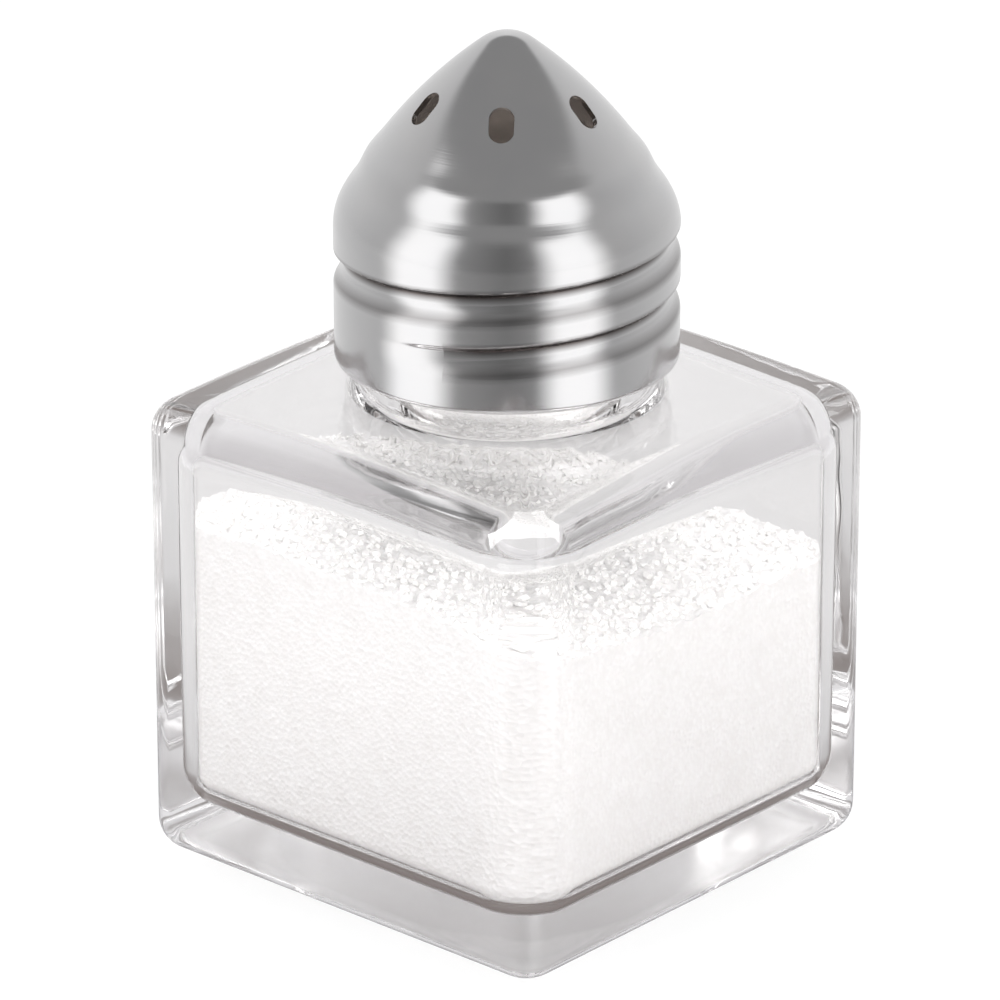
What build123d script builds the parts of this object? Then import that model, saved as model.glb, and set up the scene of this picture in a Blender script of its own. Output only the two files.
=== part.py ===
# Salt shaker for the table: a square glass jar with a screw neck, a spun steel
# dome cap with sprinkling holes, and the salt inside the jar.
# Millimetres, +Z up, the origin is the middle of the jar's underside.
# The corner between +X and -Y is the one nearest to the photograph's viewpoint.
import math
import os

from build123d import *

os.makedirs("parts", exist_ok=True)

# Outside of the glass jar
jar_width = 40.0
jar_corner_radius = 3.0
jar_foot_radius = 2.6
side_height = 37.6
shoulder_slope = 4.0
shoulder_edge_radius = 2.4

# Thickness of the glass and rounding of the hollow
wall = 2.0
floor_thickness = 4.5
shoulder_thickness = 3.0
hollow_corner_radius = 4.0
hollow_floor_radius = 2.6
hollow_shoulder_radius = 2.4

# Shallow recess under the jar, so that it stands on a flat ring
recess_radius = 14.0
recess_depth = 0.5
recess_edge = 0.3

# Neck of the jar
neck_radius = 10.9
neck_bore_radius = 8.6
neck_height = 11.4
neck_root_radius = 2.0
neck_lip_radius = 0.8
mouth_bevel = 0.5
bore_root_bevel = 1.2

# One right-hand thread, whose pitch the neck and the cap share
thread_pitch = 4.23
glass_thread_turns = 1.25
glass_thread_height = 0.85
glass_thread_foot = 1.1
glass_thread_crest = 0.35
glass_thread_sunk = 0.3
thread_end_share = 0.95

# Cap of thin sheet: a straight skirt under a pointed dome, and the hem at its rim
rim_above_shoulder = 2.2
cap_height = 25.6
cap_sheet = 0.4
skirt_radius = 13.1
hem_height = 1.1
hem_bevel = 0.25

# Dome outline: bulge, flank and tip are three arcs that run into each other
bulge_height = 10.4
bulge_radius = 5.0
flank_radius = 40.0
tip_radius = 3.4

# Groove rolled into the skirt, which stands out inside as the cap's thread
groove_start_height = 4.0
groove_start_angle = -70.0
groove_turns = 1.45
groove_depth = 0.65
groove_mouth = 1.35
groove_bottom = 0.4
groove_clearance = 0.4
ridge_cheek = 0.22
seam_turn = 5.0

# Sprinkling holes
hole_count = 6
hole_circle_radius = 6.8
hole_width = 1.9
hole_length = 2.9
first_hole_angle = -52.0
punch_reach = 2.0

# Salt, heaped higher at the photograph's left than at its right
salt_gap = 0.1
salt_left_height = 28.2
salt_middle_height = 26.0
salt_right_height = 24.2
salt_level_reach = 14.0

# Sizes and places that follow from the ones above
half_width = jar_width / 2
shoulder_rise = math.tan(math.radians(shoulder_slope))
shoulder_top = side_height + (half_width - neck_radius) * shoulder_rise
neck_top = shoulder_top + neck_height
cap_rim = shoulder_top + rim_above_shoulder
past_corners = jar_width
past_neck_top = neck_top + jar_width


def square_block(inset, bottom, corner_radius, floor_radius, edge_radius, drop):
    """Rounded square block under the shoulder cone, drawn in by inset and drop."""
    side = jar_width - 2 * inset
    cone_top = shoulder_top - drop
    cone_edge = cone_top - (past_corners - neck_radius) * shoulder_rise
    with BuildPart() as block:
        with BuildSketch(Plane.XY.offset(bottom)):
            RectangleRounded(side, side, corner_radius)
        extrude(amount=past_neck_top)
        with BuildSketch(Plane.XZ):
            with BuildLine():
                Polyline(
                    (0, 0),
                    (past_corners, 0),
                    (past_corners, cone_edge),
                    (neck_radius, cone_top),
                    (0, cone_top),
                    close=True,
                )
            make_face()
        revolve(axis=Axis.Z, mode=Mode.INTERSECT)
        floor_edges = block.faces().sort_by(Axis.Z)[0].edges()
        fillet(floor_edges, floor_radius)
        cone = block.faces().filter_by(GeomType.CONE)[0]
        cone_rims = cone.edges().filter_by(GeomType.LINE, reverse=True).sort_by(Axis.Z)
        fillet(cone_rims[:-1], edge_radius)
    return block.part


def helical_rib(turns, start_height, foot_radius, crest_radius, foot, crest):
    """Thread on the helix from +X, with its half widths at foot and crest, and cone ends."""
    height = crest_radius - foot_radius
    end_foot = foot * thread_end_share
    end_crest = crest * thread_end_share
    end_height = abs(height) * thread_end_share
    with BuildPart() as rib:
        with BuildLine(Plane.XY.offset(start_height)) as path:
            Helix(thread_pitch, thread_pitch * turns, foot_radius)
        start = path.line @ 0
        with BuildSketch(Plane(start, x_dir=(start.X, start.Y, 0), z_dir=path.line % 0)):
            Polygon((0, -foot), (height, -crest), (height, crest), (0, foot), align=None)
        sweep(path=path.line, is_frenet=True)
        for end in (start, path.line @ 1):
            with Locations(Plane(end, z_dir=(end.X * height, end.Y * height, 0))):
                Cone(end_foot, end_crest, end_height, align=(Align.CENTER, Align.CENTER, Align.MIN))
    return rib.part


def meeting_centre(first, first_distance, second, second_distance):
    """The point nearest the axis at the given distances from two points (r, z)."""
    across = second[0] - first[0]
    up = second[1] - first[1]
    apart = math.hypot(across, up)
    along = (first_distance**2 - second_distance**2 + apart**2) / (2 * apart)
    aside = math.sqrt(first_distance**2 - along**2)
    centre_r = first[0] + (along * across - aside * up) / apart
    centre_z = first[1] + (along * up + aside * across) / apart
    return centre_r, centre_z


def dome_section(inset):
    """Half section of the cap's solid form, drawn in by inset along its outline."""
    skirt = skirt_radius - inset
    top = cap_rim + cap_height - inset
    bulge = bulge_radius - inset
    flank = flank_radius - inset
    tip = tip_radius - inset
    bulge_centre = Vector(skirt - bulge, cap_rim + bulge_height)
    tip_centre = Vector(0, top - tip)
    flank_r, flank_z = meeting_centre(
        (bulge_centre.X, bulge_centre.Y), flank - bulge, (tip_centre.X, tip_centre.Y), flank - tip
    )
    flank_centre = Vector(flank_r, flank_z)
    bulge_end = flank_centre + (bulge_centre - flank_centre).normalized() * flank
    flank_end = flank_centre + (tip_centre - flank_centre).normalized() * flank
    with BuildSketch() as section:
        with BuildLine():
            skirt_line = Line((skirt, cap_rim), (skirt, bulge_centre.Y))
            bulge_arc = RadiusArc(skirt_line @ 1, bulge_end, -bulge)
            flank_arc = RadiusArc(bulge_arc @ 1, flank_end, -flank)
            RadiusArc(flank_arc @ 1, (0, top), -tip)
            Polyline((0, top), (0, cap_rim), (skirt, cap_rim))
        make_face()
    return section.sketch


def flank_point(radius):
    """Height and outward slope (r, z) of the dome's flank at a radius."""
    bulge_centre = (skirt_radius - bulge_radius, cap_rim + bulge_height)
    tip_centre = (0, cap_rim + cap_height - tip_radius)
    centre_r, centre_z = meeting_centre(
        bulge_centre, flank_radius - bulge_radius, tip_centre, flank_radius - tip_radius
    )
    slope_r = (radius - centre_r) / flank_radius
    slope_z = math.sqrt(1 - slope_r**2)
    return centre_z + slope_z * flank_radius, slope_r, slope_z


# Glass jar, pressed in one piece with its neck and thread
hollow = square_block(
    wall, floor_thickness, hollow_corner_radius,
    hollow_floor_radius, hollow_shoulder_radius, shoulder_thickness,
)
thread_flare = (glass_thread_foot - glass_thread_crest) / glass_thread_height
glass_thread = helical_rib(
    glass_thread_turns,
    cap_rim + groove_start_height - thread_pitch / 2,
    neck_radius - glass_thread_sunk,
    neck_radius + glass_thread_height,
    glass_thread_foot + thread_flare * glass_thread_sunk,
    glass_thread_crest,
)
with BuildPart() as glass_jar:
    add(square_block(0, 0, jar_corner_radius, jar_foot_radius, shoulder_edge_radius, 0))
    with BuildSketch(Plane.XY.offset(side_height / 2)):
        Circle(neck_radius)
    extrude(amount=neck_top - side_height / 2)
    neck_circles = glass_jar.edges().filter_by(GeomType.CIRCLE).filter_by(
        lambda edge: math.isclose(edge.radius, neck_radius)
    )
    fillet(neck_circles.sort_by(Axis.Z)[0], neck_root_radius)
    add(hollow, mode=Mode.SUBTRACT)
    with BuildSketch(Plane.XY.offset(side_height / 2)):
        Circle(neck_bore_radius)
    extrude(amount=past_neck_top, mode=Mode.SUBTRACT)
    bore_circles = glass_jar.edges().filter_by(GeomType.CIRCLE).filter_by(
        lambda edge: math.isclose(edge.radius, neck_bore_radius)
    )
    chamfer(bore_circles.sort_by(Axis.Z)[0], bore_root_bevel)
    mouth = glass_jar.faces().sort_by(Axis.Z)[-1].edges().sort_by(SortBy.RADIUS)
    chamfer(mouth[0], mouth_bevel)
    lip = glass_jar.faces().sort_by(Axis.Z)[-1].edges().sort_by(SortBy.RADIUS)
    fillet(lip[-1], neck_lip_radius)
    add(glass_thread, rotation=(0, 0, groove_start_angle))
    with BuildSketch():
        Circle(recess_radius)
    extrude(amount=recess_depth, mode=Mode.SUBTRACT)
    recess_rim = glass_jar.faces().sort_by(Axis.Z)[0].edges().filter_by(GeomType.CIRCLE)
    chamfer(recess_rim.sort_by(SortBy.RADIUS)[-1], recess_edge)
glass_jar.part.label = "glass_jar"
export_step(glass_jar.part, "parts/glass_jar.step")

# Cap: the spun sheet, the thread rolled into it and the holes punched through it
groove_flare = (groove_mouth - groove_bottom) / groove_depth
groove = helical_rib(
    groove_turns,
    cap_rim + groove_start_height,
    skirt_radius + groove_clearance,
    skirt_radius - groove_depth,
    groove_mouth + groove_flare * groove_clearance,
    groove_bottom,
)
ridge = helical_rib(
    groove_turns,
    cap_rim + groove_start_height,
    skirt_radius - cap_sheet / 2,
    skirt_radius - groove_depth - cap_sheet,
    groove_mouth + ridge_cheek,
    groove_bottom + ridge_cheek,
)
with BuildPart() as rolled_sheet:
    with BuildSketch(Plane.XZ) as sheet_section:
        add(dome_section(0))
        add(dome_section(cap_sheet), mode=Mode.SUBTRACT)
        with Locations((skirt_radius - 2 * cap_sheet, cap_rim)):
            Rectangle(2 * cap_sheet, hem_height, align=(Align.MIN, Align.MIN))
        chamfer(sheet_section.vertices().group_by(Axis.Y)[0], hem_bevel)
    revolve(axis=Axis.Z)
    add(ridge, rotation=(0, 0, seam_turn))
    add(groove, rotation=(0, 0, seam_turn), mode=Mode.SUBTRACT)
with BuildPart() as cap:
    add(rolled_sheet.part, rotation=(0, 0, groove_start_angle - seam_turn))
    for hole in range(hole_count):
        angle = math.radians(first_hole_angle + hole * 360 / hole_count)
        height, slope_r, slope_z = flank_point(hole_circle_radius)
        outward = (math.cos(angle), math.sin(angle))
        hole_plane = Plane(
            origin=(outward[0] * hole_circle_radius, outward[1] * hole_circle_radius, height),
            x_dir=(-outward[1], outward[0], 0),
            z_dir=(outward[0] * slope_r, outward[1] * slope_r, slope_z),
        )
        with BuildSketch(hole_plane):
            SlotOverall(hole_length, hole_width, rotation=90)
        extrude(amount=punch_reach, both=True, mode=Mode.SUBTRACT)
cap.part.label = "cap"
export_step(cap.part, "parts/cap.step")

# Salt: fills the hollow up to a surface that falls from the left corner to the right
left_to_right = Plane(origin=(0, 0, 0), x_dir=(1, 1, 0), z_dir=(1, -1, 0))
with BuildPart() as salt:
    add(square_block(
        wall + salt_gap, floor_thickness, hollow_corner_radius - salt_gap,
        hollow_floor_radius, hollow_shoulder_radius, shoulder_thickness + salt_gap,
    ))
    with BuildSketch(left_to_right):
        with BuildLine():
            Line((-past_corners, salt_left_height), (-salt_level_reach, salt_left_height))
            Spline(
                (-salt_level_reach, salt_left_height),
                (0, salt_middle_height),
                (salt_level_reach, salt_right_height),
                tangents=((1, 0), (1, 0)),
            )
            Polyline(
                (salt_level_reach, salt_right_height),
                (past_corners, salt_right_height),
                (past_corners, 0),
                (-past_corners, 0),
                (-past_corners, salt_left_height),
            )
        make_face()
    extrude(amount=past_corners, both=True, mode=Mode.INTERSECT)
salt.part.label = "salt"
export_step(salt.part, "parts/salt.step")
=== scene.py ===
import math
import random

import bmesh
import bpy
from mathutils import Matrix, Vector, noise


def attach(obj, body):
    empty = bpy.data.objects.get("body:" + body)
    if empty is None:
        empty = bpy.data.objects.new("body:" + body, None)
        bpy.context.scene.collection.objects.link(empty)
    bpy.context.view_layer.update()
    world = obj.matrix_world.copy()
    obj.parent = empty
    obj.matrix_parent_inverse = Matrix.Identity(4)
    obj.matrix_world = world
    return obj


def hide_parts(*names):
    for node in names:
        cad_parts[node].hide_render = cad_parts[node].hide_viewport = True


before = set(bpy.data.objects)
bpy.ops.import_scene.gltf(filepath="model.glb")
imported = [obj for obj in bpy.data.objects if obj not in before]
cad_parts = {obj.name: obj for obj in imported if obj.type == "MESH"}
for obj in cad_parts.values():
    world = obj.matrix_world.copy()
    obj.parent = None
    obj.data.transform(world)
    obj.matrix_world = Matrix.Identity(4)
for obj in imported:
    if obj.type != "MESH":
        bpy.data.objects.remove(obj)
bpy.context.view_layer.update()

MM = 0.001

# Outside of the glass jar; these lengths and those below are in millimetres
JAR_WIDTH = 40.0
JAR_CORNER = 3.0
JAR_FOOT = 2.6
SHOULDER_EDGE = 2.4
SHOULDER_TOP = 38.236
SHOULDER_RISE = math.tan(math.radians(4.0))
RECESS_RADIUS = 14.0
RECESS_DEPTH = 0.5
RECESS_EDGE = 0.3
UNDERSIDE_TOP = 0.7

# Hollow of the jar
WALL = 2.0
FLOOR = 4.5
CEILING = SHOULDER_TOP - 3.0
HOLLOW_CORNER = 4.0
HOLLOW_FOOT = 2.6
HOLLOW_SHOULDER = 2.4

# Neck of the jar and the thread pressed on it
NECK_RADIUS = 10.9
NECK_TOP = SHOULDER_TOP + 11.4
NECK_ROOT = 2.0
NECK_SPREAD = NECK_ROOT + 1.2
NECK_LIP = 0.8
BORE_RADIUS = 8.6
BORE_ROOT = 1.2
MOUTH_ROUND = 0.5
THREAD_PITCH = 4.23
THREAD_START_ANGLE = -70.0
GLASS_THREAD_START = SHOULDER_TOP + 6.2 - THREAD_PITCH / 2
GLASS_THREAD_TURNS = 1.25
GLASS_THREAD_RUN_IN = 0.06
GLASS_THREAD_HEIGHT = 0.85
GLASS_THREAD_HALF = 1.15

# Cap of thin sheet; heights of the cap other than RIM and GROOVE_START are taken from its rim
RIM = SHOULDER_TOP + 2.2
CAP_HEIGHT = 25.6
SHEET = 0.4
SKIRT_RADIUS = 13.1
HEM_HEIGHT = 1.1
HEM_ROUND = 0.36
HEM_INNER_ROUND = 0.3
BULGE_HEIGHT = 10.4
BULGE_RADIUS = 5.0
FLANK_RADIUS = 40.0
TIP_RADIUS = 3.4
GROOVE_START = RIM + 3.9
GROOVE_TURNS = 1.45
GROOVE_RUN_IN = 0.16
GROOVE_RUN_OUT = 0.12
GROOVE_DEPTH = 0.68
GROOVE_HALF = 1.4
# Half width of the painted shade lines along the groove
SHADE_LINE_HALF = 0.72
# Height above the rim from which the cap's inside takes the painted shade
SHADED_INSIDE_FROM = 10.5
BEAD_TOP = 17.3
BEAD_FOOT = 13.2
BEAD_RISE = 0.12
HOLE_COUNT = 6
HOLE_CIRCLE = 6.8
HOLE_WIDTH = 1.9
HOLE_LENGTH = 2.9
FIRST_HOLE_ANGLE = -52.0

# Salt
SALT_GAP = 0.08
SALT_LEFT = 28.2
SALT_MIDDLE = 26.0
SALT_RIGHT = 24.2
SALT_REACH = 14.0
SALT_CUT_FROM = 31.0
GRAIN_HEIGHT = 0.16
CRYSTAL_COUNT = 2600
CRYSTAL_MARGIN = 0.45
CRYSTAL_SIZES = (0.28, 0.55)
CRYSTAL_TILT = 0.9

# Fineness of the meshes: steps round a turned form, cuts of straight sides and roundings,
# and the length of the steps along an outline
AROUND = 160
SIDE_CUTS = 15
CORNER_CUTS = 14
SHOULDER_CUTS = 12
FOOT_CUTS = 10
RECESS_STEPS = 16
SURFACE_CUTS = 150
SKIRT_STEP = 0.11
THREAD_STEP = 0.2
BORE_STEP = 2.0


# Modelling by hand: each helper is one plain step at the bench

def clear_bench():
    """Nothing stays selected before a new piece is started."""
    if bpy.context.mode != "OBJECT":
        bpy.ops.object.mode_set(mode="OBJECT")
    bpy.ops.object.select_all(action="DESELECT")


def start(kind, name, **size):
    """A new primitive with its place in its mesh, open for editing."""
    clear_bench()
    getattr(bpy.ops.mesh, "primitive_" + kind + "_add")(**size)
    piece = bpy.context.object
    piece.name = piece.data.name = name
    bpy.ops.object.transform_apply(location=True, rotation=True, scale=True)
    bpy.ops.object.mode_set(mode="EDIT")
    bpy.ops.mesh.select_mode(type="VERT")
    bpy.ops.mesh.select_all(action="SELECT")
    return piece


def pick(piece, kind, test):
    """Selects the vertices, edges or faces that pass the test, and nothing else."""
    bpy.ops.mesh.select_mode(type={"verts": "VERT", "edges": "EDGE", "faces": "FACE"}[kind])
    bpy.ops.mesh.select_all(action="DESELECT")
    mesh = bmesh.from_edit_mesh(piece.data)
    chosen = [part for part in getattr(mesh, kind) if test(part)]
    for part in chosen:
        part.select_set(True)
    bmesh.update_edit_mesh(piece.data)


def finish_piece(piece, sharp=40.0, weighted=True):
    """Back to object mode with smooth faces, and crisp edges where the form turns sharply."""
    bpy.ops.object.mode_set(mode="OBJECT")
    clear_bench()
    piece.select_set(True)
    bpy.context.view_layer.objects.active = piece
    bpy.ops.object.shade_smooth_by_angle(angle=math.radians(sharp))
    if weighted:
        bpy.ops.object.modifier_add(type="WEIGHTED_NORMAL")
        piece.modifiers[-1].keep_sharp = True
        bpy.ops.object.modifier_apply(modifier=piece.modifiers[-1].name)
    return piece


def cut_or_keep(piece, tool, operation):
    """Cuts the piece with the tool, or keeps what both share, and throws the tool away."""
    clear_bench()
    piece.select_set(True)
    bpy.context.view_layer.objects.active = piece
    bpy.ops.object.modifier_add(type="BOOLEAN")
    cut = piece.modifiers[-1]
    cut.operation, cut.object, cut.solver = operation, tool, "EXACT"
    bpy.ops.object.modifier_apply(modifier=cut.name)
    bpy.data.objects.remove(tool)


def join(pieces, name):
    """One piece with all the meshes, under a new name."""
    clear_bench()
    for piece in pieces:
        piece.select_set(True)
    bpy.context.view_layer.objects.active = pieces[0]
    bpy.ops.object.join()
    joined = bpy.context.object
    joined.name = joined.data.name = name
    return joined


def arc(centre, radius, first, last, steps):
    """Points (r, z) along an arc, angles in degrees from the outward direction."""
    points = []
    for step in range(steps + 1):
        angle = math.radians(first + (last - first) * step / steps)
        points.append((centre[0] + radius * math.cos(angle), centre[1] + radius * math.sin(angle)))
    return points


def run(first, last, step):
    """Points along a straight run, about one step apart."""
    length = math.dist(first, last)
    count = max(1, round(length / step))
    return [
        (first[0] + (last[0] - first[0]) * i / count, first[1] + (last[1] - first[1]) * i / count)
        for i in range(count + 1)
    ]


def turned(name, points, steps):
    """A round form: its outline is drawn point by point and spun about the axis."""
    outline = [points[0]]
    for point in points[1:]:
        if math.dist(point, outline[-1]) > 0.001:
            outline.append(point)
    first = outline[0]
    piece = start("plane", name, size=MM, location=(first[0] * MM, 0, first[1] * MM))
    bpy.ops.mesh.merge(type="CENTER")
    for before, after in zip(outline, outline[1:]):
        step = ((after[0] - before[0]) * MM, 0, (after[1] - before[1]) * MM)
        bpy.ops.mesh.extrude_vertices_move(TRANSFORM_OT_translate={"value": step})
    bpy.ops.mesh.select_all(action="SELECT")
    bpy.ops.mesh.spin(
        steps=steps, angle=math.tau, center=(0, 0, 0), axis=(0, 0, 1), use_auto_merge=True,
    )
    bpy.ops.mesh.select_all(action="SELECT")
    bpy.ops.mesh.remove_doubles(threshold=0.002 * MM)
    bpy.ops.mesh.normals_make_consistent(inside=False)
    return piece


def is_upper_loop(face):
    """The many-sided face on top of a square form."""
    return len(face.verts) > 8 and face.normal.z > 0


def is_lower_loop(face):
    """The many-sided face under a square form."""
    return len(face.verts) > 8 and face.normal.z < 0


def square_form(
    name, width, bottom, top, corner, foot, edge, cuts, closed_top=False, closed_foot=True,
):
    """Rounded square block under the sloping shoulder, open where it will be joined."""
    height = top - bottom
    piece = start(
        "cube", name, size=1, location=(0, 0, (bottom + height / 2) * MM),
        scale=(width * MM, width * MM, height * MM),
    )
    pick(piece, "edges", lambda e: abs(e.verts[0].co.z - e.verts[1].co.z) > height * MM / 2)
    bpy.ops.mesh.bevel(offset=corner * MM, segments=CORNER_CUTS, affect="EDGES")
    pick(piece, "edges", lambda e: e.calc_length() > width * MM / 2
         and abs(e.verts[0].co.z - e.verts[1].co.z) < MM / 10)
    bpy.ops.mesh.subdivide(number_cuts=cuts)
    if edge:
        pick(piece, "edges", lambda e: any(is_upper_loop(f) for f in e.link_faces))
        bpy.ops.mesh.bevel(offset=edge * MM, segments=SHOULDER_CUTS, affect="EDGES")
    pick(piece, "edges", lambda e: any(is_lower_loop(f) for f in e.link_faces))
    bpy.ops.mesh.bevel(offset=foot * MM, segments=FOOT_CUTS, affect="EDGES")
    if not closed_top:
        pick(piece, "faces", is_upper_loop)
        bpy.ops.mesh.delete(type="FACE")
    if not closed_foot:
        pick(piece, "faces", is_lower_loop)
        bpy.ops.mesh.delete(type="FACE")
    mesh = bmesh.from_edit_mesh(piece.data)
    for vertex in mesh.verts:
        if vertex.co.z > (top - edge - 0.01) * MM:
            reach = math.hypot(vertex.co.x, vertex.co.y) - NECK_RADIUS * MM
            vertex.co.z -= SHOULDER_RISE * max(0, reach)
    bmesh.update_edit_mesh(piece.data)
    return piece


def bridge(piece, low, high, inner_reach, outer_reach, flat=False):
    """Joins the two open loops between the given heights and distances from the axis."""
    def on_loop(edge):
        middle = (edge.verts[0].co + edge.verts[1].co) / 2
        reach = math.hypot(middle.x, middle.y) / MM
        within = low < middle.z / MM < high and inner_reach < reach < outer_reach
        return edge.is_boundary and within
    pick(piece, "edges", on_loop)
    if flat:
        bpy.ops.mesh.fill(use_beauty=True)
    else:
        bpy.ops.mesh.bridge_edge_loops()


def rolled(amount):
    """Smooth rise from 0 to 1."""
    amount = min(1.0, max(0.0, amount))
    return amount * amount * (3 - 2 * amount)


def rounded_ridge(across):
    """The thread on the glass, from 0 to 1, across its width from -1 to 1."""
    return math.cos(across * math.pi / 2) ** 1.6


def rolled_groove(across):
    """The groove in the sheet: a steep wall at its upper edge and an easy one at its lower edge."""
    return rolled((across + 1) / 1.15) * rolled((0.95 - across) / 0.42)


def thread_form(place, start_height, turns, half, run_in, run_out, shape):
    """Height of the thread, from 0 to 1, at a point in millimetres."""
    angle = math.degrees(math.atan2(place.y, place.x))
    best = 0.0
    for turn in range(-1, int(turns) + 2):
        along = ((angle - THREAD_START_ANGLE) % 360.0) / 360.0 + turn
        ends = rolled(along / run_in + 0.5) * rolled((turns - along) / run_out + 0.5)
        across = (place.z - (start_height + along * THREAD_PITCH)) / half
        if abs(across) < 1:
            best = max(best, ends * shape(across))
    return best


# Glass jar

def neck_outline():
    """From the shoulder up the outside of the neck, over the lip and down the bore."""
    slope = math.degrees(math.atan(SHOULDER_RISE))
    root_centre = (NECK_RADIUS + NECK_ROOT, SHOULDER_TOP + NECK_ROOT)
    outside = [(NECK_RADIUS + NECK_SPREAD, SHOULDER_TOP - NECK_SPREAD * SHOULDER_RISE)]
    outside += arc(root_centre, NECK_ROOT, 270 - slope, 180, 8)
    neck = run(
        (NECK_RADIUS, SHOULDER_TOP + NECK_ROOT), (NECK_RADIUS, NECK_TOP - NECK_LIP), THREAD_STEP,
    )
    lip = arc((NECK_RADIUS - NECK_LIP, NECK_TOP - NECK_LIP), NECK_LIP, 0, 90, 6)
    mouth = arc((BORE_RADIUS + MOUTH_ROUND, NECK_TOP - MOUTH_ROUND), MOUTH_ROUND, 90, 180, 6)
    bore = run(
        (BORE_RADIUS, NECK_TOP - MOUTH_ROUND), (BORE_RADIUS, CEILING + BORE_ROOT), BORE_STEP,
    )
    root = arc((BORE_RADIUS + BORE_ROOT, CEILING + BORE_ROOT), BORE_ROOT, 180, 270, 6)
    return outside + neck + lip + mouth + bore + root


def make_jar():
    """The outside, the hollow, the neck and the recess, bridged into one skin."""
    outside = square_form(
        "jar_outside", JAR_WIDTH, 0, SHOULDER_TOP, JAR_CORNER, JAR_FOOT, SHOULDER_EDGE,
        SIDE_CUTS, closed_foot=False,
    )
    hollow = square_form(
        "jar_hollow", JAR_WIDTH - 2 * WALL, FLOOR, CEILING, HOLLOW_CORNER, HOLLOW_FOOT,
        HOLLOW_SHOULDER, SIDE_CUTS,
    )
    bpy.ops.mesh.select_all(action="SELECT")
    bpy.ops.mesh.flip_normals()
    neck = turned("jar_neck", neck_outline(), AROUND)
    shares = [1 - step / RECESS_STEPS for step in range(RECESS_STEPS + 1)]
    dish = [
        ((RECESS_RADIUS + RECESS_EDGE) * share, RECESS_DEPTH * (1 - share ** 2))
        for share in shares
    ]
    recess = turned("jar_recess", dish, AROUND)
    jar = join([outside, hollow, neck, recess], "jar")
    bpy.ops.object.mode_set(mode="EDIT")
    # The shoulder outside, the ceiling inside, and the face that the jar stands on
    bridge(jar, low=36.0, high=40.0, inner_reach=10, outer_reach=26)
    bridge(jar, low=33.0, high=CEILING + 0.3, inner_reach=9, outer_reach=26)
    bridge(jar, low=-0.1, high=0.1, inner_reach=14, outer_reach=26, flat=True)
    bpy.ops.mesh.select_all(action="SELECT")
    bpy.ops.mesh.normals_make_consistent(inside=False)
    mesh = bmesh.from_edit_mesh(jar.data)
    for vertex in mesh.verts:
        place = vertex.co / MM
        reach = math.hypot(place.x, place.y)
        on_neck = abs(reach - NECK_RADIUS) < 0.01
        if on_neck and place.z > SHOULDER_TOP + NECK_ROOT - 0.1:
            rise = GLASS_THREAD_HEIGHT * thread_form(
                place, GLASS_THREAD_START, GLASS_THREAD_TURNS, GLASS_THREAD_HALF,
                GLASS_THREAD_RUN_IN, GLASS_THREAD_RUN_IN, rounded_ridge,
            )
            vertex.co.xy *= (reach + rise) / reach
    bmesh.update_edit_mesh(jar.data)
    return finish_piece(jar, sharp=60)


# Cap

def dome_outline(inset, steps):
    """Outline of the dome from its tip down to the skirt, three tangent arcs drawn in by inset."""
    skirt, top = SKIRT_RADIUS - inset, RIM + CAP_HEIGHT - inset
    bulge, flank, tip = BULGE_RADIUS - inset, FLANK_RADIUS - inset, TIP_RADIUS - inset
    bulge_centre = Vector((skirt - bulge, RIM + BULGE_HEIGHT))
    tip_centre = Vector((0, top - tip))
    apart = (tip_centre - bulge_centre).length
    along = ((flank - bulge) ** 2 - (flank - tip) ** 2 + apart ** 2) / (2 * apart)
    aside = math.sqrt((flank - bulge) ** 2 - along ** 2)
    way = (tip_centre - bulge_centre) / apart
    flank_centre = bulge_centre + way * along + Vector((-way.y, way.x)) * aside
    low = math.degrees(math.atan2(*(bulge_centre - flank_centre).yx))
    high = math.degrees(math.atan2(*(tip_centre - flank_centre).yx))
    points = arc(tip_centre, tip, 90, high, steps)
    points += arc(flank_centre, flank, high, low, 3 * steps)
    points += arc(bulge_centre, bulge, low, 0, 2 * steps)
    return points


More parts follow.
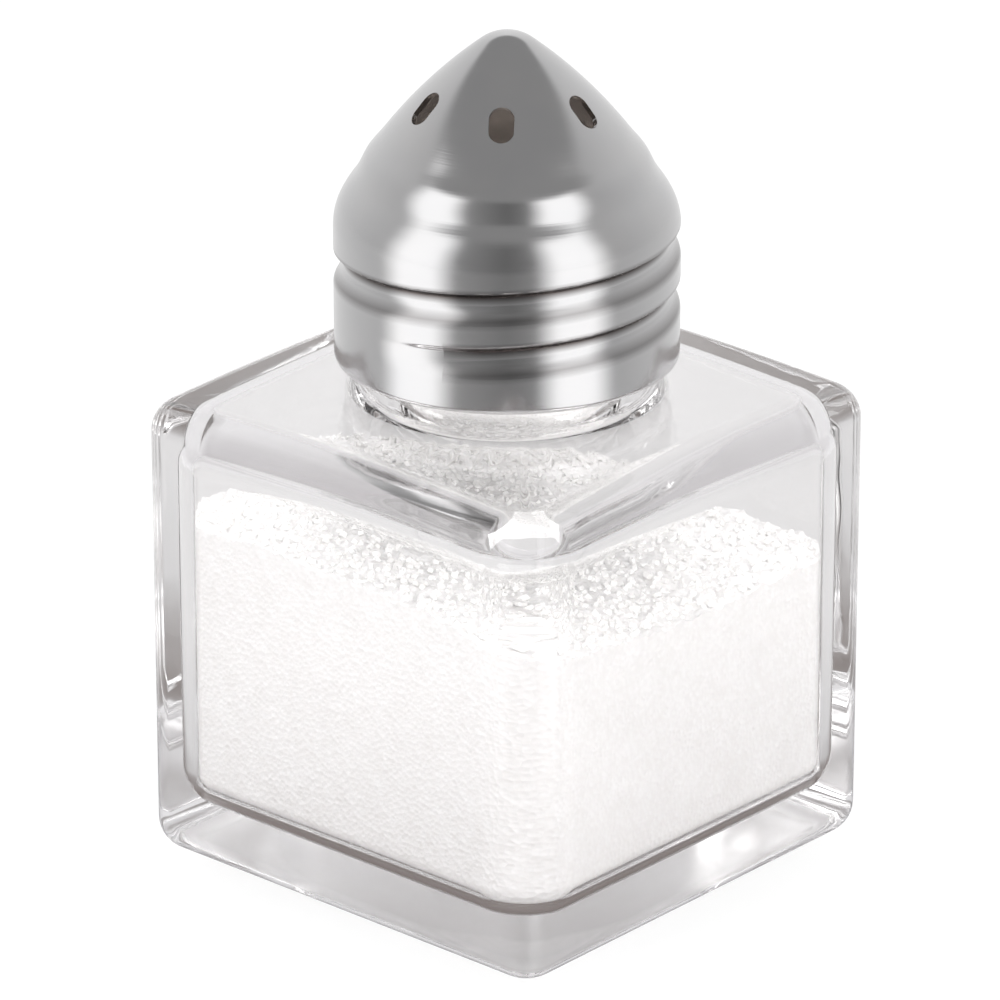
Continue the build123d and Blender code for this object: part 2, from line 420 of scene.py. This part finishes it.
def make_cap():
    """The sheet is turned, the thread is rolled into its skirt and the holes are punched."""
    outer, inner = dome_outline(0, 10), dome_outline(SHEET, 8)
    skirt = run(
        (SKIRT_RADIUS, RIM + BULGE_HEIGHT), (SKIRT_RADIUS, RIM + HEM_ROUND), SKIRT_STEP,
    )
    inner_skirt = run(
        (SKIRT_RADIUS - SHEET, RIM + HEM_HEIGHT + 0.15),
        (SKIRT_RADIUS - SHEET, RIM + BULGE_HEIGHT), THREAD_STEP,
    )
    hem_inside = SKIRT_RADIUS - 2 * SHEET
    hem = arc((SKIRT_RADIUS - HEM_ROUND, RIM + HEM_ROUND), HEM_ROUND, 0, -90, 5)
    hem += arc((hem_inside + HEM_ROUND, RIM + HEM_ROUND), HEM_ROUND, 270, 180, 5)
    hem_top = (hem_inside + HEM_INNER_ROUND, RIM + HEM_HEIGHT - HEM_INNER_ROUND)
    hem += arc(hem_top, HEM_INNER_ROUND, 180, 90, 4)
    cap = turned("cap_shell", outer + skirt + hem + inner_skirt + inner[::-1], AROUND)
    mesh = bmesh.from_edit_mesh(cap.data)
    for vertex in mesh.verts:
        place = vertex.co / MM
        reach = math.hypot(place.x, place.y)
        # The thread, in the skirt alone
        if reach > SKIRT_RADIUS - SHEET - 0.6 and RIM + 1.0 < place.z < RIM + 12.5:
            depth = GROOVE_DEPTH * thread_form(
                place, GROOVE_START, GROOVE_TURNS, GROOVE_HALF, GROOVE_RUN_IN, GROOVE_RUN_OUT,
                rolled_groove,
            )
            vertex.co.xy *= (reach - depth) / reach
        # A bead and the valley under it, about square to the dome
        level = (place.z - RIM - BEAD_TOP) / (BEAD_FOOT - BEAD_TOP)
        if 0 < level < 1 and reach > 8:
            swell = BEAD_RISE * math.sin(math.tau * level) * math.sin(math.pi * level)
            vertex.co += Vector((place.x, place.y, 0.6 * reach)).normalized() * swell * MM
    bmesh.update_edit_mesh(cap.data)
    bpy.ops.object.mode_set(mode="OBJECT")

    # Slots punched square to the flank of the dome
    flank = min(dome_outline(0, 60), key=lambda point: abs(point[0] - HOLE_CIRCLE))
    later = min(dome_outline(0, 60), key=lambda point: abs(point[0] - HOLE_CIRCLE - 0.5))
    lean = math.atan2(flank[1] - later[1], later[0] - flank[0])
    punches = []
    for hole in range(HOLE_COUNT):
        punch = start("circle", "punch", vertices=40, radius=HOLE_WIDTH / 2 * MM, fill_type="NGON")
        stretch = (HOLE_LENGTH - HOLE_WIDTH) / 2 * MM
        mesh = bmesh.from_edit_mesh(punch.data)
        for vertex in mesh.verts:
            vertex.co.x += stretch if vertex.co.x > 0 else -stretch
            vertex.co.z -= MM
        bmesh.update_edit_mesh(punch.data)
        bpy.ops.mesh.extrude_region_move(TRANSFORM_OT_translate={"value": (0, 0, 2 * MM)})
        bpy.ops.mesh.select_all(action="SELECT")
        bpy.ops.mesh.normals_make_consistent(inside=False)
        bpy.ops.object.mode_set(mode="OBJECT")
        place = Matrix.Rotation(math.radians(FIRST_HOLE_ANGLE + hole * 360 / HOLE_COUNT), 4, "Z")
        place = place @ Matrix.Translation(Vector((flank[0], 0, flank[1])) * MM)
        punch.data.transform(place @ Matrix.Rotation(lean, 4, "Y"))
        punches.append(punch)
    cut_or_keep(cap, join(punches, "punches"), "DIFFERENCE")
    return finish_piece(cap, sharp=35)


# Salt

def salt_level(x, y):
    """Height of the salt's surface before its grain."""
    across = (x + y) / math.sqrt(2)
    share = max(-1.0, min(1.0, across / SALT_REACH))
    level = SALT_MIDDLE + (SALT_RIGHT - SALT_LEFT) / 2 * math.sin(share * math.pi / 2)
    for height, layer, scale in ((0.35, 3.0, 0.22), (0.30, 8.0, 0.75), (0.22, 5.0, 2.3)):
        level += height * noise.noise(Vector((x, y, layer)) * scale)
    return level


def make_salt():
    """A block that fills the hollow, cut off by the uneven surface of the salt."""
    width = JAR_WIDTH - 2 * (WALL + SALT_GAP)
    salt = square_form(
        "salt_heap", width, FLOOR + SALT_GAP / 2, SALT_CUT_FROM, HOLLOW_CORNER - SALT_GAP,
        HOLLOW_FOOT, 0, 0, closed_top=True,
    )
    bpy.ops.object.mode_set(mode="OBJECT")
    surface = start(
        "grid", "salt_surface", x_subdivisions=SURFACE_CUTS, y_subdivisions=SURFACE_CUTS,
        size=(width + 2) * MM,
    )
    mesh = bmesh.from_edit_mesh(surface.data)
    for vertex in mesh.verts:
        x, y = vertex.co.x / MM, vertex.co.y / MM
        grain = GRAIN_HEIGHT * noise.noise(Vector((x, y, 1.0)) * 5.5)
        vertex.co.z = (salt_level(x, y) + grain) * MM
    bmesh.update_edit_mesh(surface.data)
    bpy.ops.mesh.select_all(action="SELECT")
    bpy.ops.mesh.extrude_region_move(TRANSFORM_OT_translate={"value": (0, 0, -35 * MM)})
    bpy.ops.mesh.select_all(action="SELECT")
    bpy.ops.mesh.normals_make_consistent(inside=False)
    bpy.ops.object.mode_set(mode="OBJECT")
    cut_or_keep(salt, surface, "INTERSECT")
    return finish_piece(salt, sharp=50, weighted=False)


def make_crystals(count):
    """Coarse crystals lying loose on the salt: one is modelled, and copies are strewn."""
    crystal = start("cube", "crystal", size=1)
    bpy.ops.mesh.select_all(action="SELECT")
    bpy.ops.mesh.bevel(offset=0.12, segments=1, affect="EDGES")
    bpy.ops.object.mode_set(mode="OBJECT")
    corners = [vertex.co.copy() for vertex in crystal.data.vertices]
    sides = [tuple(face.vertices) for face in crystal.data.polygons]
    bpy.data.objects.remove(crystal)
    chance = random.Random(7)
    vertices, faces = [], []
    reach = JAR_WIDTH / 2 - WALL - SALT_GAP - CRYSTAL_MARGIN
    while count:
        x, y = chance.uniform(-reach, reach), chance.uniform(-reach, reach)
        beyond = reach + 0.4 - HOLLOW_CORNER  # where a side ends and its round corner starts
        past = math.hypot(max(0, abs(x) - beyond), max(0, abs(y) - beyond))
        if past > HOLLOW_CORNER - CRYSTAL_MARGIN:
            continue
        size = chance.uniform(*CRYSTAL_SIZES)
        turn = Matrix.Rotation(chance.uniform(0, math.tau), 3, "Z")
        for axis in "XY":
            turn = turn @ Matrix.Rotation(chance.uniform(-CRYSTAL_TILT, CRYSTAL_TILT), 3, axis)
        shape = Vector((size, size * chance.uniform(0.7, 1.0), size * chance.uniform(0.6, 0.9)))
        centre = Vector((x, y, salt_level(x, y) + size * chance.uniform(0.0, 0.3)))
        first = len(vertices)
        vertices += [((turn @ (corner * shape)) + centre) * MM for corner in corners]
        faces += [tuple(first + index for index in side) for side in sides]
        count -= 1
    mesh = bpy.data.meshes.new("salt_crystals")
    mesh.from_pydata(vertices, [], faces)
    piece = bpy.data.objects.new("salt_crystals", mesh)
    bpy.context.scene.collection.objects.link(piece)
    return piece


# Finishes

class Value:
    """A value in a finish: sums written with it add Math nodes."""

    def __init__(self, finish, socket):
        self.finish, self.socket = finish, socket

    def __add__(self, other):
        return self.finish.maths("ADD", self, other)

    def __sub__(self, other):
        return self.finish.maths("SUBTRACT", self, other)

    def __rsub__(self, other):
        return self.finish.maths("SUBTRACT", other, self)

    def __mul__(self, other):
        return self.finish.maths("MULTIPLY", self, other)

    def __truediv__(self, other):
        return self.finish.maths("DIVIDE", self, other)

    __radd__ = __add__
    __rmul__ = __mul__

    def limited(self):
        return self.finish.node("Clamp", {}, {"Value": self})


class Finish:
    """Nodes of one material or of the world."""

    def __init__(self, owner):
        owner.use_nodes = True
        self.owner, self.tree = owner, owner.node_tree
        self.tree.nodes.clear()

    def node(self, kind, settings, values, output=0):
        """Adds a node; an input that is given a Value is linked, any other one is set."""
        made = self.tree.nodes.new("ShaderNode" + kind)
        for name, setting in settings.items():
            if name == "stops":
                for index, (place, colour) in enumerate(setting):
                    stops = made.color_ramp.elements
                    stop = stops[index] if index < len(stops) else stops.new(place)
                    stop.position, stop.color = place, (*colour, 1.0)
            else:
                setattr(made, name, setting)
        for name, value in values.items():
            if isinstance(value, Value):
                self.tree.links.new(value.socket, made.inputs[name])
            elif made.inputs[name].type == "RGBA":
                made.inputs[name].default_value = (*value, 1.0)
            else:
                made.inputs[name].default_value = value
        return Value(self, made.outputs[output])

    def maths(self, operation, first, second=0.0):
        return self.node("Math", {"operation": operation}, {0: first, 1: second})

    def dot(self, first, second):
        """How far the first vector goes along the second, a fixed one."""
        values = {0: first, 1: tuple(second)}
        return self.node("VectorMath", {"operation": "DOT_PRODUCT"}, values, output="Value")

    def height_of(self, place):
        return self.node("SeparateXYZ", {}, {"Vector": place}, output="Z")

    def rings(self, height, scale, detail):
        """Noise that changes with height alone."""
        values = {"W": height, "Scale": scale, "Detail": detail}
        return self.node("TexNoise", {"noise_dimensions": "1D"}, values)

    def mix(self, share, first, second):
        """Shader between two others."""
        return self.node("MixShader", {}, {0: share, 1: first, 2: second})

    def glow(self, colour):
        return self.node("Emission", {}, {"Color": colour, "Strength": 1.0})

    def blend(self, share, first, second):
        """Colour between two others."""
        return self.node("Mix", {"data_type": "RGBA"}, {0: share, 6: first, 7: second}, output=2)

    def place(self):
        return self.node("TexCoord", {}, {}, output="Object")

    def speckle(self, scale, detail=2.0, where=None):
        values = {"Vector": where or self.place(), "Scale": scale, "Detail": detail}
        return self.node("TexNoise", {}, values)

    def ray(self, kind):
        """1 on rays of that kind, 0 on the others."""
        return self.node("LightPath", {}, {}, output="Is " + kind + " Ray")

    def ends(self, surface):
        """Links the last shader to the output, and gives back the material or world."""
        kind = "World" if isinstance(self.owner, bpy.types.World) else "Material"
        way_out = self.tree.nodes.new("ShaderNodeOutput" + kind)
        self.tree.links.new(surface.socket, way_out.inputs["Surface"])
        return self.owner


def new_finish(name):
    return Finish(bpy.data.materials.new(name))


def clear_glass_finish():
    """Clear pressed glass with the slow ripple of a pressed surface, and dull on its underside."""
    finish = new_finish("clear_glass_finish")
    place = finish.place()
    ripple = finish.speckle(190.0, 1.0, place)
    height = finish.height_of(place)
    under = ((UNDERSIDE_TOP * MM - height) * 4000.0).limited()
    bump = finish.node("Bump", {}, {"Strength": 0.05, "Distance": 0.0004, "Height": ripple})
    glass = finish.node("BsdfPrincipled", {}, {
        "Base Color": (0.982, 0.978, 0.98), "Roughness": under * 0.3, "IOR": 1.52,
        "Transmission Weight": 1.0, "Normal": bump,
    })
    lit_through = finish.node("BsdfTransparent", {}, {"Color": (0.985, 0.983, 0.985)})
    return finish.ends(finish.mix(finish.ray("Shadow"), glass, lit_through))


def painted_groove_shade(finish, place, above):
    """Nearness, from 0 to 1, to a line along the groove, the given height above its middle; it masks
    the shade painted into the steel's colour there.
    """
    x, y, z = (finish.node("SeparateXYZ", {}, {"Vector": place}, output=axis) for axis in "XYZ")
    turn = finish.maths("ARCTAN2", y, x) / math.tau
    along = finish.maths("FRACT", turn - THREAD_START_ANGLE / 360 + 1.0)
    height = (z / MM - GROOVE_START - above) / THREAD_PITCH - along
    near = 0.0
    for lap in (0.0, 1.0):
        apart = finish.maths("ABSOLUTE", height - lap)
        begun = ((along + lap) * 14.0 + 0.5).limited()
        ends = begun * ((GROOVE_TURNS - lap - along) * 9.0).limited()
        near = (1.0 - apart * THREAD_PITCH / SHADE_LINE_HALF).limited() * ends + near
    return near


def spun_steel_finish():
    """Satin steel with the fine rings that spinning and polishing leave round the axis, and shade
    painted as dark lines along the groove's edges.
    """
    finish = new_finish("spun_steel_finish")
    place = finish.place()
    height = finish.height_of(place)
    rings = finish.rings(height, 9000.0, 3.0)
    broad = finish.rings(height, 1400.0, 2.0)
    clouds = finish.speckle(260.0, 3.0, place)
    relief = rings * 0.7 + clouds * 0.3
    bump = finish.node("Bump", {}, {"Strength": 0.06, "Distance": 0.00004, "Height": relief})
    roughness = 0.11 + broad * 0.05 + clouds * 0.04
    colour = finish.blend(clouds, (0.65, 0.65, 0.66), (0.71, 0.70, 0.70))
    # Painted shade: near-black lines painted into the steel's colour along the upper and lower edges of
    # the thread groove
    upper = painted_groove_shade(finish, place, 0.62 * GROOVE_HALF)
    lower = painted_groove_shade(finish, place, -0.7 * GROOVE_HALF)
    colour = finish.blend((upper * 1.2 + lower * 0.5).limited(), colour, (0.10, 0.085, 0.08))
    return finish.ends(finish.node("BsdfPrincipled", {}, {
        "Base Color": colour, "Metallic": 1.0, "Roughness": roughness,
        "Anisotropic": 0.4, "Anisotropic Rotation": 0.0, "Normal": bump,
    }))


def dull_shaded_steel_finish():
    """The cap's inside, left dull from the press, and darker than the outside: painted shade inside the
    dome.
    """
    finish = new_finish("dull_shaded_steel_finish")
    colour = finish.blend(finish.speckle(700.0, 3.0), (0.20, 0.17, 0.15), (0.30, 0.26, 0.23))
    return finish.ends(finish.node("BsdfPrincipled", {}, {
        "Base Color": colour, "Metallic": 1.0, "Roughness": 0.5,
    }))


def table_salt_finish():
    """White grains packed together: each grain catches the light a little differently."""
    finish = new_finish("table_salt_finish")
    place = finish.place()
    grains = finish.node("TexVoronoi", {}, {"Vector": place, "Scale": 2600.0})
    shade = finish.node("TexVoronoi", {}, {"Vector": place, "Scale": 2600.0}, output="Color")
    level = finish.node("SeparateColor", {}, {"Color": shade})
    patches = finish.speckle(330.0, 3.0, place)
    colour = finish.blend(
        (level * 0.5 + patches * 0.7 - 0.2).limited(), (0.84, 0.83, 0.82), (0.93, 0.93, 0.93),
    )
    bump = finish.node("Bump", {}, {"Strength": 0.5, "Distance": 0.00018, "Height": grains})
    return finish.ends(finish.node("BsdfPrincipled", {}, {
        "Base Color": colour, "Roughness": 0.55, "Normal": bump,
        "Specular IOR Level": 0.4,
    }))


def crystal_finish():
    """Loose crystals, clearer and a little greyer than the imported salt."""
    finish = new_finish("loose_crystal_finish")
    patches = finish.speckle(900.0, 1.0)
    colour = finish.blend(patches, (0.84, 0.83, 0.81), (0.97, 0.97, 0.97))
    return finish.ends(finish.node("BsdfPrincipled", {}, {
        "Base Color": colour, "Roughness": 0.25, "Specular IOR Level": 0.6,
    }))


# The object

jar = make_jar()
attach(jar, "jar")
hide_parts("glass_jar")
jar.data.materials.append(clear_glass_finish())

cap = make_cap()
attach(cap, "cap")
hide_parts("cap")
cap.data.materials.append(spun_steel_finish())
cap.data.materials.append(dull_shaded_steel_finish())
# Faces on the inside of the dome take the dull finish, with shade painted into its darker colour
for face in cap.data.polygons:
    outward = Vector((face.center.x, face.center.y, max(0, face.center.z - RIM * MM) * 0.5))
    inner = face.normal.dot(outward) < 0
    face.material_index = int(inner and face.center.z > (RIM + SHADED_INSIDE_FROM) * MM)

salt = make_salt()
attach(salt, "jar")
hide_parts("salt")
salt.data.materials.append(table_salt_finish())

crystals = make_crystals(CRYSTAL_COUNT)
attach(crystals, "jar")
crystals.data.materials.append(crystal_finish())

# Camera: its distance in metres, its aim, lens and sensor in millimetres
AZIMUTH = math.radians(41.6)
ELEVATION = math.radians(22.3)
DISTANCE = 0.539
AIM_ASIDE = -0.53
AIM_HEIGHT = 28.35
FOCAL_LENGTH = 253.9
SENSOR_WIDTH = 36.0


def direction(turn, rise):
    """From the shaker, by its turn from the front (-Y) towards +X and its rise above the table."""
    level = math.cos(rise)
    return Vector((math.sin(turn) * level, -math.cos(turn) * level, math.sin(rise)))


toward_camera = direction(AZIMUTH, ELEVATION)
level_toward = Vector((toward_camera.x, toward_camera.y, 0)).normalized()
to_the_right = Vector((math.cos(AZIMUTH), math.sin(AZIMUTH), 0))
aim = to_the_right * AIM_ASIDE * MM + Vector((0, 0, AIM_HEIGHT * MM))
clear_bench()
bpy.ops.object.camera_add(location=aim + toward_camera * DISTANCE)
camera = bpy.context.object
camera.rotation_mode = "QUATERNION"
camera.rotation_quaternion = (-toward_camera).to_track_quat("-Z", "Y")
camera.data.lens = FOCAL_LENGTH
camera.data.sensor_width = SENSOR_WIDTH
camera.data.clip_start, camera.data.clip_end = 0.01, 20.0
bpy.context.scene.camera = camera

# Table top, a hair below the jar
FLOOR_HEIGHT = -0.03
clear_bench()
bpy.ops.mesh.primitive_plane_add(size=6.0, location=(0, 0, FLOOR_HEIGHT * MM))
bpy.ops.object.transform_apply(location=True)
floor = bpy.context.object
floor.name = "floor"

# What metal mirrors: a soft light at each side of a dark opening where the photographer stands, a pale
# backdrop behind the shaker and a dim ceiling. Turns and heights are in degrees, turns from the camera.
LIGHT_TURNS = (-60, 45)
LIGHT_HALF_WIDTH = 20
LIGHT_EDGE = 15
LIGHT_TOP = 40
LIGHT_COLOUR = (1.4, 1.4, 1.4)
OPENING_COLOUR = (0.15, 0.15, 0.15)
BACKDROP_COLOUR = (0.9, 0.9, 0.9)
CEILING_COLOUR = (0.3, 0.3, 0.3)


def round_the_studio(finish, vector):
    """Colour of the studio in a direction, by its turn about the upright axis."""
    right, toward = finish.dot(vector, to_the_right), finish.dot(vector, level_toward)
    turn = finish.maths("ARCTAN2", right, toward)
    behind = finish.maths("ABSOLUTE", turn) / math.pi
    colour = finish.blend(behind, OPENING_COLOUR, BACKDROP_COLOUR)
    for light_turn in LIGHT_TURNS:
        aside = finish.maths("ABSOLUTE", turn - math.radians(light_turn))
        lit = ((math.radians(LIGHT_HALF_WIDTH) - aside) / math.radians(LIGHT_EDGE) + 0.5).limited()
        colour = finish.blend(lit, colour, LIGHT_COLOUR)
    return colour


floor_finish = new_finish("floor_finish")
painted = floor_finish.node("BsdfDiffuse", {}, {"Color": (0.86, 0.86, 0.86)})
white = floor_finish.glow((1.0, 1.0, 1.0))
spot = floor_finish.place()
away = floor_finish.node("VectorMath", {"operation": "LENGTH"}, {0: spot}, output="Value")
# Painted reflection and painted shade: to glossy rays the table glows with the studio's lights and dark
# opening, and is almost black within about 33 mm of the jar's middle, fading out by 67 mm
past_painted_shade = (away * 30.0 - 1.0).limited()
painted_lights_on_table = round_the_studio(floor_finish, spot)
painted_reflection = floor_finish.glow(floor_finish.blend(past_painted_shade, (0.09, 0.09, 0.11), painted_lights_on_table))
# Painted shadow: to rays through the glass the table glows dark brown within about 25 mm of the jar's
# middle, and pale beyond about 42 mm
past_painted_shadow = (away * 60.0 - 1.5).limited()
through = floor_finish.glow(
    floor_finish.blend(past_painted_shadow, (0.25, 0.21, 0.19), (0.82, 0.81, 0.81)),
)
floor_look = floor_finish.mix(floor_finish.ray("Camera") * 0.8, painted, white)
floor_look = floor_finish.mix(floor_finish.ray("Glossy") * 0.95, floor_look, painted_reflection)
floor_look = floor_finish.mix(floor_finish.ray("Transmission") * 0.75, floor_look, through)
# The pale table throws light up into the jar: a lamp below does that, and the table lets it pass
let_up = floor_finish.node("BsdfTransparent", {}, {"Color": (1.0, 1.0, 1.0)})
floor_look = floor_finish.mix(floor_finish.ray("Shadow"), floor_look, let_up)
floor.data.materials.append(floor_finish.ends(floor_look))

# World: plain white to look at, and the lit room for metal
world = bpy.data.worlds.new("studio")
bpy.context.scene.world = world
room = Finish(world)
heading = room.node("TexCoord", {}, {}, output="Generated")
facing = room.dot(heading, level_toward)
rise = room.height_of(heading)
above_lights = ((rise - math.sin(math.radians(LIGHT_TOP))) * 12.0).limited()
tent = room.blend(above_lights, round_the_studio(room, heading), CEILING_COLOUR)
glass_view = room.blend((facing * 0.9 + 0.1).limited(), (0.86, 0.85, 0.86), (0.62, 0.60, 0.61))
glass_view = room.blend((rise * 2.2 - 0.8).limited(), glass_view, (0.52, 0.50, 0.51))
colour = room.blend(room.ray("Glossy"), (0.85, 0.85, 0.85), tent)
colour = room.blend(room.ray("Transmission"), colour, glass_view)
colour = room.blend(room.ray("Camera"), colour, (1.0, 1.0, 1.0))
room.ends(room.node("Background", {}, {"Color": colour, "Strength": 1.0}))

# Light finds its way through thick glass only after many turns inside it
paths = bpy.context.scene.cycles
paths.max_bounces, paths.transmission_bounces, paths.glossy_bounces = 32, 24, 20


def softbox(name, azimuth, elevation, distance, width, height, power, colour):
    """A soft lamp aimed at the shaker; azimuth is from the camera, positive to its right."""
    way = direction(AZIMUTH + math.radians(azimuth), math.radians(elevation))
    clear_bench()
    bpy.ops.object.light_add(type="AREA", location=Vector((0, 0, 0.04)) + way * distance)
    lamp = bpy.context.object
    lamp.name = name
    lamp.rotation_mode = "QUATERNION"
    lamp.rotation_quaternion = way.to_track_quat("Z", "Y")
    lamp.data.shape = "RECTANGLE"
    lamp.data.size, lamp.data.size_y = width, height
    lamp.data.energy, lamp.data.color = power, colour
    lamp.visible_camera = lamp.visible_glossy = False


# Azimuth and elevation in degrees, distance, width and height in metres, power and colour
softbox("left_softbox", -68, 24, 0.6, 0.25, 0.5, 1.3, (1.0, 0.99, 0.98))
softbox("right_softbox", 46, 24, 0.6, 0.25, 0.5, 1.8, (1.0, 0.99, 0.98))
softbox("top_softbox", 180, 72, 0.7, 0.4, 0.4, 2.1, (1.0, 1.0, 1.0))
softbox("front_softbox", 0, 40, 0.8, 0.5, 0.3, 1.3, (1.0, 1.0, 1.0))
softbox("table_softbox", 0, -88, 0.5, 0.5, 0.5, 0.15, (1.0, 0.96, 0.93))

bpy.context.scene.view_settings.view_transform = "Standard"
